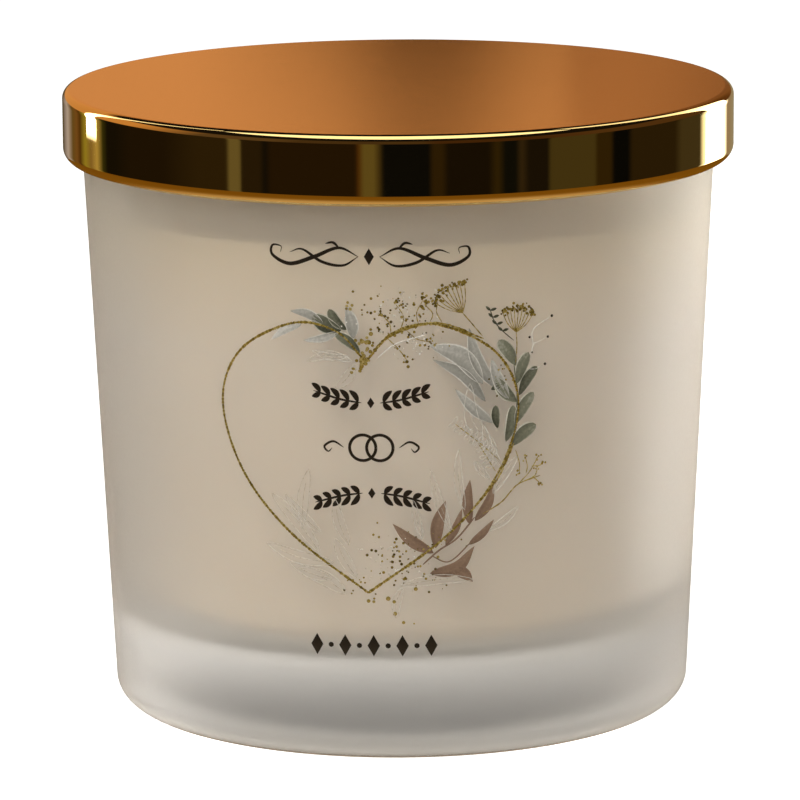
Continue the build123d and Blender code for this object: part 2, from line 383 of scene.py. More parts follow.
def arc(centre, radius, start, turn, count):
    """Points along an arc, with angles in degrees."""
    angles = [math.radians(start + turn * step / count) for step in range(count + 1)]
    return [(centre[0] + radius * math.cos(a), centre[1] + radius * math.sin(a)) for a in angles]


def lid_profile():
    """The lid's section: flat top, rounded edge, side, and a hem turned in and folded back."""
    edge = (LID_RADIUS - LID_EDGE, LID_TOP - LID_EDGE)
    hem = (LID_RADIUS - HEM_RADIUS, LID_BOTTOM + HEM_RADIUS)
    fold = (hem[0], LID_BOTTOM + LID_SHEET)
    outside = [(0, LID_TOP), (15, LID_TOP), (30, LID_TOP), (45, LID_TOP), (edge[0] - 0.1, LID_TOP)]
    outside += arc(edge, LID_EDGE, 90, -90, 16)
    outside += [(LID_RADIUS, z) for z in (edge[1] - 0.1, (edge[1] + hem[1]) / 2, hem[1] + 0.1)]
    outside += arc(hem, HEM_RADIUS, 0, -90, 18)
    inside = arc(fold, LID_SHEET, -90, -180, 8)[1:]
    inside += arc(hem, HEM_RADIUS - 2 * LID_SHEET, -90, HEM_LAP, 6)[1:]
    inside += arc(hem, HEM_RADIUS - LID_SHEET, HEM_LAP - 90, 90 - HEM_LAP, 6)
    inside += [(LID_RADIUS - LID_SHEET, hem[1] + 0.1), (LID_RADIUS - LID_SHEET, edge[1] - 0.1)]
    inside += arc(edge, LID_EDGE - LID_SHEET, 0, 90, 8)
    inside += [(edge[0] - 0.1, LID_TOP - LID_SHEET), (0, LID_TOP - LID_SHEET)]
    return outside + inside


# -------------------------------- the print, in millimetres
def along(points, step=0.25):
    """A smooth curve through given points (Catmull-Rom), sampled every step or so."""
    knots = [np.array(point, float) for point in points]
    knots = [2 * knots[0] - knots[1], *knots, 2 * knots[-1] - knots[-2]]
    curve = []
    for a, b, c, d in zip(knots, knots[1:], knots[2:], knots[3:]):
        count = max(2, int(np.linalg.norm(c - b) / step))
        for t in np.arange(count) / count:
            bend, twist = 2 * a - 5 * b + 4 * c - d, 3 * b - a - 3 * c + d
            curve.append(0.5 * (2 * b + (c - a) * t + bend * t**2 + twist * t**3))
    return np.array([*curve, knots[-2]])


def sideways(curve):
    """Unit vectors to the left of a curve."""
    heading = np.gradient(curve, axis=0)
    heading /= np.linalg.norm(heading, axis=1)[:, None] + 1e-9
    return np.stack([-heading[:, 1], heading[:, 0]], axis=1)


class Ink:
    """One colour of raised ink on the front of the glass.

    Shapes are drawn flat in millimetres: s runs along the glass to the right of the front's
    centre line, and z is the height. Each point also has a thickness of ink and a tint.
    """

    def __init__(self, seed):
        self.points, self.faces, self.tints = [], [], []
        self.random = random.Random(seed)

    def add(self, points, faces, tints):
        start = len(self.points)
        self.points += points
        self.faces += [[start + corner for corner in face] for face in faces]
        self.tints += tints

    def grid(self, rows, tints):
        """Rows of points, each as long as the first, joined by quads."""
        width = len(rows[0])
        faces = [
            [r * width + c, r * width + c + 1, (r + 1) * width + c + 1, (r + 1) * width + c]
            for r in range(len(rows) - 1)
            for c in range(width - 1)
        ]
        self.add(sum(rows, []), faces, sum(tints, []))

    def stroke(self, points, width, height=0.1, tint=0.5, swell=0.0, jitter=0.0, step=0.25, taper=0.12):
        """A raised line. Swell is how much wider it is in the middle than at its ends."""
        curve = along(points, step)
        side = sideways(curve)
        rows, tints = [], []
        for index, (point, across) in enumerate(zip(curve, side)):
            t = index / (len(curve) - 1)
            ends = min(1, t / taper, (1 - t) / taper) if taper else 1
            half = 0.5 * width * (1 - swell + swell * math.sin(math.pi * t)) * (0.25 + 0.75 * ends**0.5)
            half *= 1 + jitter * self.random.uniform(-1, 1)
            lift = height * (1 + jitter * self.random.uniform(-1, 0.5))
            tone = tint + jitter * self.random.uniform(-1, 1)
            row = [(*(point + half * u * across), lift * h) for u, h in SECTION]
            rows.append(row)
            tints.append([tone] * len(row))
        self.grid(rows, tints)

    def dot(self, centre, radius, height=0.12, tint=0.5):
        """A low dome."""
        sides = 8
        turn = self.random.uniform(0, math.pi)
        points, tints = [(*centre, height)], [tint]
        for share, rise in ((0.65, 0.75), (1.0, 0.0)):
            reach = share * radius
            for side in range(sides):
                angle = turn + 2 * math.pi * side / sides
                place = (centre[0] + reach * math.cos(angle), centre[1] + reach * math.sin(angle))
                points.append((*place, rise * height))
                tints.append(tint - 0.25 * (1 - rise))
        faces = [[0, 1 + side, 1 + (side + 1) % sides] for side in range(sides)]
        for side in range(sides):
            after = (side + 1) % sides
            faces.append([1 + side, 1 + sides + side, 1 + sides + after, 1 + after])
        self.add(points, faces, tints)

    def leaf(self, foot, tip, width, bend=0.0, blunt=0.8, tone=0.5, rim=0.95, height=0.1):
        """A filled leaf with a pale rim, partly its raised edge and partly a painted highlight, a vein and
        one half darker than the other.
        """
        foot, tip = np.array(foot, float), np.array(tip, float)
        length = np.linalg.norm(tip - foot)
        normal = np.array([-(tip - foot)[1], (tip - foot)[0]]) / length
        middle = (foot + tip) / 2 + bend * length * normal
        curve = along((foot, middle, tip), length / 18)
        side = sideways(curve)
        lean = self.random.choice((-1, 1))
        rows, tints = [], []
        for index, (point, across) in enumerate(zip(curve, side)):
            t = index / (len(curve) - 1)
            half = 0.5 * width * outline(t, blunt)
            rows.append([(*(point + half * u * across), height * h) for u, h, _ in LEAF_SECTION])
            shade = tone + 0.28 * (t - 0.5)
            # A pale rim tone paints the highlight that the leaf's raised edge catches.
            tones = {"rim": rim, "vein": shade + 0.1}
            tints.append([tones.get(part, shade + 0.12 * lean * u) for u, _, part in LEAF_SECTION])
        self.grid(rows, tints)

    def outline_leaf(self, foot, tip, width, bend=0.0, blunt=0.8, line=0.13, tint=0.62, vein=True):
        """A leaf drawn with raised lines only."""
        foot, tip = np.array(foot, float), np.array(tip, float)
        length = np.linalg.norm(tip - foot)
        normal = np.array([-(tip - foot)[1], (tip - foot)[0]]) / length
        curve = along((foot, (foot + tip) / 2 + bend * length * normal, tip), length / 14)
        side = sideways(curve)
        shares = np.arange(len(curve)) / (len(curve) - 1)
        half = 0.5 * width * np.array([outline(t, blunt) for t in shares])
        for edge in (-1, 1):
            self.stroke(curve + edge * half[:, None] * side, line, 0.15, tint, jitter=0.25, taper=0.05)
        if vein:
            self.stroke(curve[: int(0.8 * len(curve))], 0.8 * line, 0.07, tint - 0.15, jitter=0.25)

    def spatter(self, centre, spread, count, sizes, tints):
        """Dots scattered round a point."""
        for _ in range(count):
            place = (self.random.gauss(centre[0], spread[0]), self.random.gauss(centre[1], spread[1]))
            self.dot(place, self.random.uniform(*sizes), tint=self.random.uniform(*tints))

    def make(self, name, material, slot, *nodes):
        """Wraps the drawing round the glass and returns the piece."""
        wrapped = []
        for s, z, rise in self.points:
            radius = outer_radius(z)
            angle = s / radius
            reach = radius + INK_LIFT + rise
            wrapped.append((reach * math.sin(angle), -reach * math.cos(angle), z))
        piece = make_object(name, wrapped, self.faces, material)
        tint = piece.data.attributes.new("tint", "FLOAT", "POINT")
        tint.data.foreach_set("value", [min(1.0, max(0.0, value)) for value in self.tints])
        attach(piece, "jar")
        if nodes:
            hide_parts(*nodes)
        return piece


# Across a line: the place from edge to edge, and the share of the ink's height.
SECTION = ((-1.0, 0.0), (-0.6, 0.8), (0.0, 1.0), (0.6, 0.8), (1.0, 0.0))
LEAF_SECTION = (
    (-1.0, 0.0, "rim"),
    (-0.9, 1.0, "rim"),
    (-0.78, 0.7, "blade"),
    (-0.35, 0.6, "blade"),
    (0.0, 0.75, "vein"),
    (0.35, 0.6, "blade"),
    (0.78, 0.7, "blade"),
    (0.9, 1.0, "rim"),
    (1.0, 0.0, "rim"),
)
INK_LIFT = 0.01
LEAF_FOOT = 0.75  # how slowly a leaf widens from its foot


def outline(t, blunt):
    """Half width of a leaf along its length: a low blunt is a round tip, a high one a long point."""
    t = min(max(t, 0.0), 1.0)
    widest = LEAF_FOOT**LEAF_FOOT * blunt**blunt / (LEAF_FOOT + blunt) ** (LEAF_FOOT + blunt)
    return (t**LEAF_FOOT * (1 - t) ** blunt) / widest


# The heart's right half, from the dip to the point.
HEART_HALF = (
    (0, 63.4),
    (4.4, 68.0),
    (11.2, 69.0),
    (20.0, 64.3),
    (23.5, 56.2),
    (20.4, 45.9),
    (12.6, 36.6),
    (0, 27.2),
)
TWIG_STEMS = (
    ((19.8, 47.6), (16.8, 50.4), (13.0, 53.6)),
    ((19.3, 45.8), (17.9, 48.2), (16.6, 50.4)),
)


def gold_print():
    """The heart's line, the umbels, the twigs and the spatter, in gold glitter ink."""
    line = Ink(11)
    for side in (-1, 1):
        half = [(side * s - 0.4, z) for s, z in HEART_HALF]
        line.stroke(half, 0.38, 0.16, 0.45, jitter=0.35, step=0.16, taper=0)
    line.stroke(((-0.4, 63.6), (3.6, 67.5), (10.5, 69.3), (17.6, 66.6)), 0.36, 0.14, 0.5, jitter=0.35)
    line.stroke(((16.9, 41.3), (19.8, 44.9), (22.3, 50.0)), 0.36, 0.14, 0.5, jitter=0.35)
    line.make("print_heart_line", gold_ink, "gold_ink", "print_heart")

    flowers = Ink(12)
    for base, heading, reach, spread in (((14.4, 70.7), 122, 4.6, 36), ((22.8, 67.2), 84, 3.9, 40)):
        for ray in range(9):
            turn = math.radians(heading + spread * (ray / 4 - 1))
            head = (base[0] + reach * math.cos(turn), base[1] + reach * math.sin(turn))
            bow = ((base[0] + head[0]) / 2 - 0.25 * (ray / 4 - 1), (base[1] + head[1]) / 2 - 0.2)
            flowers.stroke((base, bow, head), 0.13, 0.08, 0.55, jitter=0.3)
            flowers.spatter(head, (0.34, 0.3), 7, (0.12, 0.26), (0.1, 0.75))
    flowers.stroke(((14.4, 70.7), (15.8, 69.0), (17.4, 67.0)), 0.16, 0.08, 0.5, jitter=0.3)
    flowers.stroke(((22.8, 67.2), (22.9, 65.0), (22.6, 62.0)), 0.16, 0.08, 0.6, jitter=0.3)
    for foot, bend, tip in (
        ((3.5, 67.8), (3.2, 69.5), (1.6, 71.0)),
        ((5.0, 68.5), (5.4, 70.4), (4.2, 72.4)),
        ((7.6, 69.3), (7.4, 71.0), (8.4, 73.0)),
        ((9.4, 69.5), (9.8, 70.8), (8.6, 72.2)),
        ((11.2, 69.4), (10.4, 71.0), (10.6, 72.6)),
        ((3.0, 67.0), (4.6, 65.4), (5.9, 63.6)),
        ((5.8, 68.3), (7.4, 66.9), (9.6, 66.4)),
    ):
        flowers.stroke((foot, bend, tip), 0.14, 0.08, 0.5, jitter=0.3)
        flowers.spatter(tip, (0.42, 0.42), 7, (0.12, 0.27), (0.1, 0.75))
    for knot, count in (
        ((-0.9, 63.4), 16),
        ((-0.4, 66.7), 11),
        ((-3.0, 71.6), 5),
        ((0.2, 65.2), 6),
        ((-2.0, 62.2), 5),
    ):
        flowers.spatter(knot, (0.62, 0.55), count, (0.18, 0.36), (0.3, 0.85))
    flowers.make("print_gold_flowers", gold_ink, "gold_ink")

    spatter = Ink(13)
    for centre, spread, count in (
        ((5.2, 71.2), (2.7, 1.9), 62),
        ((8.6, 66.6), (2.2, 1.4), 24),
        ((1.8, 70.2), (1.2, 1.6), 16),
        ((3.5, 32.4), (2.6, 2.3), 46),
        ((7.2, 30.6), (2.4, 1.8), 30),
        ((-1.8, 28.6), (1.3, 0.9), 12),
        ((9.5, 34.4), (1.8, 1.4), 14),
        ((20.6, 60.2), (0.9, 1.3), 12),
    ):
        spatter.spatter(centre, spread, count, (0.07, 0.24), (0.0, 0.7))
    for place, radius in (
        ((2.6, 26.3), 0.36),
        ((3.5, 25.8), 0.28),
        ((3.6, 23.9), 0.34),
        ((4.9, 22.5), 0.26),
        ((6.5, 22.3), 0.14),
        ((6.8, 27.8), 0.32),
        ((-0.4, 25.9), 0.3),
        ((0.4, 25.8), 0.24),
    ):
        spatter.dot(place, radius, tint=0.65)
    spatter.make("print_gold_spatter", gold_ink, "gold_ink")

    twigs = Ink(14)
    twigs.stroke(((17.2, 39.2), (20.3, 40.9), (22.9, 43.4), (26.7, 44.5)), 0.2, 0.1, 0.55, jitter=0.25)
    for foot, tip in (
        ((22.9, 43.4), (26.4, 47.6)),
        ((22.6, 48.9), (23.2, 45.2)),
        ((24.3, 45.1), (24.2, 47.6)),
        ((25.2, 46.1), (27.2, 46.4)),
        ((24.9, 44.1), (26.2, 45.5)),
        ((25.6, 44.3), (26.6, 43.2)),
    ):
        middle = ((foot[0] + tip[0]) / 2 + 0.3, (foot[1] + tip[1]) / 2 - 0.2)
        twigs.stroke((foot, middle, tip), 0.15, 0.09, 0.65, jitter=0.25)
        twigs.spatter(tip, (0.25, 0.25), 4, (0.12, 0.2), (0.4, 0.9))
    for stem in TWIG_STEMS:
        twigs.stroke(stem, 0.16, 0.09, 0.5, jitter=0.25)
    twigs.make("print_gold_twigs", gold_ink, "gold_ink")


def leaf_print():
    """The filled leaves: sage green, translucent pale grey, and rose-brown."""
    green = Ink(21)
    for foot, tip, width, bend, tone in (
        ((-4.0, 68.2), (-8.4, 70.3), 2.7, 0.08, 0.12),
        ((-3.2, 68.3), (-5.9, 71.4), 1.8, 0.1, 0.2),
        ((-1.2, 64.8), (-5.0, 67.7), 1.8, -0.06, 0.25),
        ((22.7, 62.1), (19.9, 66.2), 2.3, -0.05, 0.45),
        ((22.9, 59.3), (24.8, 64.0), 2.0, 0.05, 0.4),
        ((23.2, 57.4), (26.2, 61.7), 1.9, 0.06, 0.18),
        ((22.8, 56.4), (19.4, 60.3), 2.3, 0.06, 0.38),
        ((22.5, 52.9), (25.6, 57.7), 2.1, 0.05, 0.42),
        ((21.0, 50.3), (22.2, 55.9), 2.0, -0.06, 0.3),
        ((22.0, 49.6), (26.0, 52.6), 2.3, 0.08, 0.36),
        ((19.7, 52.5), (19.4, 56.1), 1.5, 0.05, 0.15),
        ((18.7, 58.6), (20.6, 59.4), 1.2, 0.05, 0.2),
    ):
        green.leaf(foot, tip, width, bend, blunt=0.55, tone=tone)
    green.stroke(((20.9, 46.9), (22.4, 52.2), (22.9, 57.4), (22.4, 62.4)), 0.22, 0.1, 0.3)
    green.stroke(((22.4, 66.0), (20.4, 67.8), (19.2, 69.4), (18.6, 71.2)), 0.16, 0.08, 0.05)
    for place in ((20.6, 67.6), (19.7, 68.7), (19.1, 69.8), (18.7, 70.9)):
        for turn in (0.3, 2.4):
            tip = (place[0] + 1.0 * math.cos(turn), place[1] + 1.0 * math.sin(turn))
            green.leaf(place, tip, 0.42, tone=0.0, rim=0.1)
    green.make("print_leaves_sage", green_ink, "green_ink", "print_leaves_green")

    pale = Ink(22)
    for foot, tip, width, bend, tone in (
        ((-2.2, 67.0), (-3.2, 71.9), 2.1, -0.05, 0.45),
        ((-6.8, 69.2), (-12.0, 70.9), 1.5, -0.1, 0.45),
        ((-10.2, 68.9), (-15.2, 66.2), 1.4, -0.08, 0.75),
        ((-4.4, 67.9), (-10.0, 66.4), 1.3, 0.06, 0.6),
        ((17.4, 59.6), (9.2, 65.9), 3.2, -0.14, 0.5),
        ((19.2, 59.0), (15.3, 68.4), 2.3, 0.08, 0.4),
        ((17.8, 56.8), (9.7, 63.7), 2.0, -0.1, 0.3),
        ((19.0, 53.4), (13.1, 59.0), 1.8, 0.05, 0.5),
        ((21.5, 57.0), (18.8, 63.4), 2.0, 0.05, 0.5),
    ):
        pale.leaf(foot, tip, width, bend, blunt=0.95, tone=tone, rim=1.0)
    pale.make("print_leaves_pale", pale_ink, "green_ink")

    rose = Ink(23)
    for foot, tip, width, bend in (
        ((15.2, 37.7), (15.3, 44.7), 1.7, 0.05),
        ((16.0, 38.2), (19.0, 43.8), 1.6, -0.1),
        ((9.9, 34.2), (11.5, 41.6), 2.0, 0.06),
        ((11.4, 34.6), (14.0, 40.2), 1.3, -0.06),
        ((9.6, 33.4), (3.4, 38.1), 1.8, 0.06),
        ((15.0, 34.5), (19.0, 38.2), 1.2, -0.06),
        ((9.0, 30.2), (15.9, 34.2), 2.0, -0.18),
        ((12.4, 30.8), (15.6, 28.6), 1.8, 0.1),
    ):
        rose.leaf(foot, tip, width, bend, blunt=1.0, tone=0.42, rim=0.5)
    rose.stroke(((7.9, 31.6), (10.4, 33.8), (13.2, 35.6), (16.0, 38.8)), 0.26, 0.1, 0.35)
    rose.stroke(((9.2, 33.0), (12.0, 32.0), (15.4, 34.9)), 0.2, 0.1, 0.4)
    rose.make("print_leaves_rose_brown", rose_ink, "rose_ink", "print_leaves_rose")


def outline_print():
    """The leaves and loops drawn in raised white lines."""
    white = Ink(31)
    for foot, tip, width, bend in (
        ((-2.0, 63.0), (-5.1, 59.1), 1.6, 0.08),
        ((-2.4, 63.4), (-9.5, 63.2), 1.3, -0.14),
        ((-3.0, 64.2), (-8.6, 64.9), 1.0, 0.1),
        ((-10.6, 36.8), (-9.4, 46.4), 1.8, 0.04),
        ((-7.6, 36.4), (-13.3, 42.2), 1.5, 0.04),
        ((-7.8, 33.2), (-15.6, 42.2), 2.0, -0.04),
        ((-3.3, 34.6), (-5.5, 42.0), 1.7, 0.05),
        ((-5.6, 31.8), (-16.6, 34.2), 2.0, 0.06),
        ((-5.9, 29.2), (-12.8, 31.4), 1.6, 0.05),
        ((-3.7, 26.9), (-11.5, 30.4), 2.2, -0.08),
        ((-2.1, 29.4), (-5.5, 35.7), 1.8, 0.04),
        ((18.9, 42.3), (22.9, 47.8), 1.5, 0.04),
        ((18.2, 36.5), (23.0, 39.9), 1.2, -0.05),
        ((4.4, 28.3), (15.7, 29.0), 1.5, 0.05),
        ((4.8, 28.0), (3.8, 23.2), 1.3, -0.1),
        ((8.0, 35.6), (6.6, 41.8), 1.1, 0.03),
        ((12.4, 36.6), (9.2, 46.6), 1.3, 0.03),
        ((14.4, 40.0), (13.6, 49.6), 1.3, 0.05),
        ((18.4, 44.6), (16.0, 47.6), 1.0, 0.05),
        ((19.6, 49.2), (15.4, 59.8), 2.1, 0.16),
        ((20.4, 46.4), (17.4, 53.4), 1.3, 0.08),
    ):
        white.outline_leaf(foot, tip, width, bend)
    for stem in TWIG_STEMS:
        curve = along(stem, 0.9)
        for point, across in zip(curve[1:], sideways(curve)[1:]):
            for side in (-1, 1):
                tip = point + side * across + (-0.25, 0.25)
                white.outline_leaf(point, tip, 0.55, line=0.12, vein=False)
    for width, loop in (
        (0.16, ((24.9, 62.6), (25.6, 65.0), (25.6, 67.4), (28.6, 69.2))),
        (0.14, ((25.6, 65.2), (26.6, 65.5), (28.0, 66.0))),
        (0.14, ((24.6, 61.4), (26.0, 61.3), (27.4, 61.8))),
        (0.18, ((1.2, 63.8), (4.2, 66.2), (9.0, 67.6))),
    ):
        white.stroke(loop, width, 0.09, 0.85, jitter=0.2)
    for centre, spread, count in (
        ((5.0, 70.6), (2.9, 2.0), 80),
        ((3.6, 31.6), (2.8, 2.2), 50),
        ((8.0, 65.8), (2.6, 1.2), 36),
    ):
        white.spatter(centre, spread, count, (0.08, 0.2), (0.6, 1.0))
    white.make("print_white_lines", white_ink, "white_ink", "print_leaves_white")


# The ornaments' centre line, their heights on the glass, and how the dark ink lies.
MIDDLE = 0.3
RULE_ROW = 79.6
LAUREL_ROWS = ((57.0, 1), (42.9, -1))
RING_ROW = 50.0
RING_RADIUS = 2.0
DIAMOND_ROW = 18.8
DIAMOND_PITCH = 4.4
FLAT = {"height": 0.08, "tint": 0.3}
SCROLL = (
    (1.6, 0),
    (4.6, 1.3),
    (8.4, -0.2),
    (12.2, -1.4),
    (15.0, -0.2),
    (15.0, 1.3),
    (13.6, 1.2),
    (13.7, 0.3),
)


def diamond(dark, s, z, wide, tall):
    """A raised diamond with a bevelled edge."""
    corners = [(s + wide / 2, z), (s, z + tall / 2), (s - wide / 2, z), (s, z - tall / 2)]
    height, inset = FLAT["height"], 0.82
    points = [(s, z, height)] + [(s + inset * (x - s), z + inset * (y - z), height) for x, y in corners]
    points += [(x, y, 0.0) for x, y in corners]
    faces = [[0, 1 + side, 1 + (side + 1) % 4] for side in range(4)]
    faces += [[1 + side, 5 + side, 5 + (side + 1) % 4, 1 + (side + 1) % 4] for side in range(4)]
    dark.add(points, faces, [FLAT["tint"]] * len(points))


def mirrored(dark, row, width, swell, points):
    """A stroke on each side of the centre line, with heights counted from a row."""
    for side in (-1, 1):
        dark.stroke([(MIDDLE + side * s, row + z) for s, z in points], width, swell=swell, **FLAT)


def laurel(dark, row, lift):
    """Two leafy twigs and a diamond. Lift is which way the twigs turn up."""
    mirrored(dark, row, 0.34, 0.4, ((1.4, 0), (4.6, 0.5 * lift), (8.8, 1.7 * lift)))
    for step in range(5):
        for spread in (-1, 1):
            for side in (-1, 1):
                s = 1.9 + 1.45 * step
                z = row + lift * 0.03 * s * s / 1.2
                rise = lift * 0.35 + spread * (1.5 - 0.12 * step)
                foot, tip = (MIDDLE + side * s, z), (MIDDLE + side * (s + 1.35), z + rise)
                dark.leaf(foot, tip, 0.85, 0.1 * side * spread, tone=0.25, rim=0.35, height=FLAT["height"])
    diamond(dark, MIDDLE, row, 1.1, 1.7)


def linked_rings(dark):
    """Two linked rings between small scrolls."""
    for side in (-1, 1):
        ring = [
            (MIDDLE + side * 1.3 + RING_RADIUS * math.cos(turn), RING_ROW + RING_RADIUS * math.sin(turn))
            for turn in np.linspace(0, 2 * math.pi, 25)
        ]
        dark.stroke(ring, 0.46, 0.1, FLAT["tint"], step=0.3, taper=0)
    mirrored(dark, RING_ROW, 0.36, 0.6, ((4.2, 0), (5.8, 0.9), (7.2, 0.1), (6.6, -0.7), (6.0, -0.1)))


def dark_print():
    """Generic ornaments in dark ink: a scrolled rule, laurels, linked rings and a row of diamonds."""
    dark = Ink(41)
    diamond(dark, MIDDLE, RULE_ROW, 1.5, 2.6)
    for width, swell, scroll in (
        (0.62, 0.7, SCROLL),
        (0.46, 0.7, ((1.6, 0), (4.0, -1.4), (7.2, -0.9), (10.2, 0.9), (12.2, 0.4))),
        (0.4, 0.6, ((4.4, 1.1), (5.4, 2.1), (6.6, 1.9))),
    ):
        mirrored(dark, RULE_ROW, width, swell, scroll)
    for row, lift in LAUREL_ROWS:
        laurel(dark, row, lift)
    linked_rings(dark)
    for step in range(-2, 3):
        diamond(dark, MIDDLE + DIAMOND_PITCH * step, DIAMOND_ROW, 1.9, 3.4)
    for step in (-1.5, -0.5, 0.5, 1.5):
        dark.dot((MIDDLE + DIAMOND_PITCH * step, DIAMOND_ROW), 0.42, **FLAT)
    for place, radius in (
        ((28.8, 69.3), 0.24),
        ((28.1, 66.1), 0.22),
        ((27.6, 61.9), 0.24),
        ((25.0, 66.3), 0.2),
        ((25.4, 63.9), 0.18),
    ):
        dark.dot(place, radius)
    dark.make("print_dark_ornaments", dark_ink, "dark_ink", "print_ornaments")


# -------------------------------- wicks
CUT_DEPTH = 0.35  # of the dimple in the cut end


def braided_wick(name, node):
    """A flat-braided cotton cord in the place of the CAD wick, with a cut, slightly open end."""
    low, high = (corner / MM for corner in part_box(node))
    centre, radius = (low + high) / 2, (high.x - low.x) / 2
    rings, sides = 220, 24
    points, faces = [], []
    for ring in range(rings + 1):
        height = low.z + (high.z - low.z) * ring / rings
        for side in range(sides):
            angle = 2 * math.pi * side / sides
            over = math.cos(3 * angle + 2.6 * height)
            under = math.cos(3 * angle - 2.6 * height)
            reach = radius * (0.8 + 0.2 * max(0.0, over, under))
            points.append((centre.x + reach * math.cos(angle), centre.y + reach * math.sin(angle), height))
    for ring in range(rings):
        for side in range(sides):
            after = (side + 1) % sides
            base = ring * sides
            faces.append([base + side, base + after, base + sides + after, base + sides + side])
    points += [(centre.x, centre.y, low.z), (centre.x, centre.y, high.z - CUT_DEPTH)]
    last = len(points) - 1
    for side in range(sides):
        after = (side + 1) % sides
        faces.append([last - 1, after, side])
        faces.append([last, rings * sides + side, rings * sides + after])
    piece = make_object(name, points, faces, cotton_material)
    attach(piece, "jar")
    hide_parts(node)


# -------------------------------- the candle
def give(node, material):
    """A CAD node keeps its mesh and takes a finished material."""
    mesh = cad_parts[node].data
    mesh.materials.clear()
    mesh.materials.append(material)


cotton_material = cotton()
gold_ink = ink("gold_ink", (0.11, 0.08, 0.012), (0.47, 0.36, 0.07), (0.97, 0.86, 0.40), 0.32, 0.6, 4000)
green_ink = ink("green_ink", (0.05, 0.057, 0.033), (0.24, 0.245, 0.165), (0.72, 0.69, 0.58), 0.42)
pale_ink = ink("pale_ink", (0.21, 0.205, 0.175), (0.43, 0.415, 0.36), (0.84, 0.81, 0.74), 0.42)
rose_ink = ink("rose_ink", (0.13, 0.075, 0.045), (0.30, 0.19, 0.12), (0.52, 0.38, 0.27), 0.42)
white_ink = ink("white_ink", (0.30, 0.25, 0.18), (0.74, 0.69, 0.60), (0.97, 0.95, 0.89), 0.3)
dark_ink = ink("dark_ink", (0.008, 0.006, 0.004), (0.02, 0.015, 0.01), (0.09, 0.07, 0.05), 0.35)

glass = frosted_glass()
give("glass_jar", glass)
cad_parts["glass_jar"].visible_shadow = False
give("wax_fill", wax())
give("base_label", paper("label_paper", (0.86, 0.85, 0.82), 900))
give("lid_insert", gold("gold_pan", (0.93, 0.70, 0.34), 0.12))
give("lid_seal", silicone())
tin = tinplate()
foam = paper("sticker_foam", (0.82, 0.81, 0.78), 1500)
for number in (1, 2, 3):
    give(f"wick_tab_{number}", tin)
    give(f"wick_sticker_{number}", foam)
    braided_wick(f"braided_wick_{number}", f"wick_{number}")

lid = lathe("lid_cap", lid_profile(), lid_metal())
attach(lid, "lid")
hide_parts("lid_shell")

gold_print()
leaf_print()
outline_print()
dark_print()


# -------------------------------- studio
LIGHT_AIM = Vector((0, 0, 0.05))


def softbox(name, azimuth, distance, height, size, power, colour=(1, 1, 1)):
    """An area light that faces the candle, unseen itself. Azimuth 0 is the camera's side, in degrees."""
    data = bpy.data.lights.new(name, "AREA")
    data.shape = "RECTANGLE"
    data.size, data.size_y = size
    data.energy = power
    data.color = colour
    light = bpy.data.objects.new(name, data)
    bpy.context.scene.collection.objects.link(light)
    turn = math.radians(azimuth) + CAMERA_AZIMUTH
    light.location = (distance * math.sin(turn), -distance * math.cos(turn), height)
    light.rotation_euler = (LIGHT_AIM - light.location).to_track_quat("-Z", "Y").to_euler()
    light.visible_camera = False
    light.visible_glossy = False
    light.visible_transmission = False


def only_reflected(piece):
    """Leaves a card visible to reflections alone."""
    piece.visible_camera = False
    piece.visible_diffuse = False
    piece.visible_transmission = False
    piece.visible_shadow = False


# What the polished metal sees of the floor: distance from the candle in metres, and colour.
FLOOR_GLOW = (
    (0.070, (0.53, 0.37, 0.21)),
    (0.097, (0.415, 0.26, 0.114)),
    (0.120, (0.256, 0.133, 0.03)),
    (0.150, (0.195, 0.088, 0.008)),
    (0.600, (0.16, 0.07, 0.006)),
)


# Through the glass: the brightest way over the floor and over the world, the darkest place on the
# floor, and how the floor's tone changes with distance from that place, in metres.
BRIGHT_FLOOR = (0.53, 0.85, 0.0)
BRIGHT_WORLD = (0.85, 0.53, 0.0)
SHADED_FLOOR = (0.008, -0.03, 0.0)
SHEEN = (2.8, 2.73, 2.63)
SHEEN_STARTS = (0.075, 0.105)
FLOOR_SIZE = 12
FLOOR_GAP = 0.2 * MM
FLOOR_SHADE = (
    (0.017, (0.28, 0.26, 0.22)),
    (0.032, (0.36, 0.345, 0.31)),
    (0.045, (0.64, 0.63, 0.59)),
    (0.056, (1.15, 1.14, 1.12)),
    (0.064, (1.0, 0.99, 0.97)),
    (0.080, (0.45, 0.435, 0.40)),
)


def by_distance(shader, distance, reach, stops):
    """A colour ramp whose stops are distances up to a reach."""
    share = shader.math("DIVIDE", distance, reach)
    return shader.ramp(share, [(place / reach, colour) for place, colour in stops])


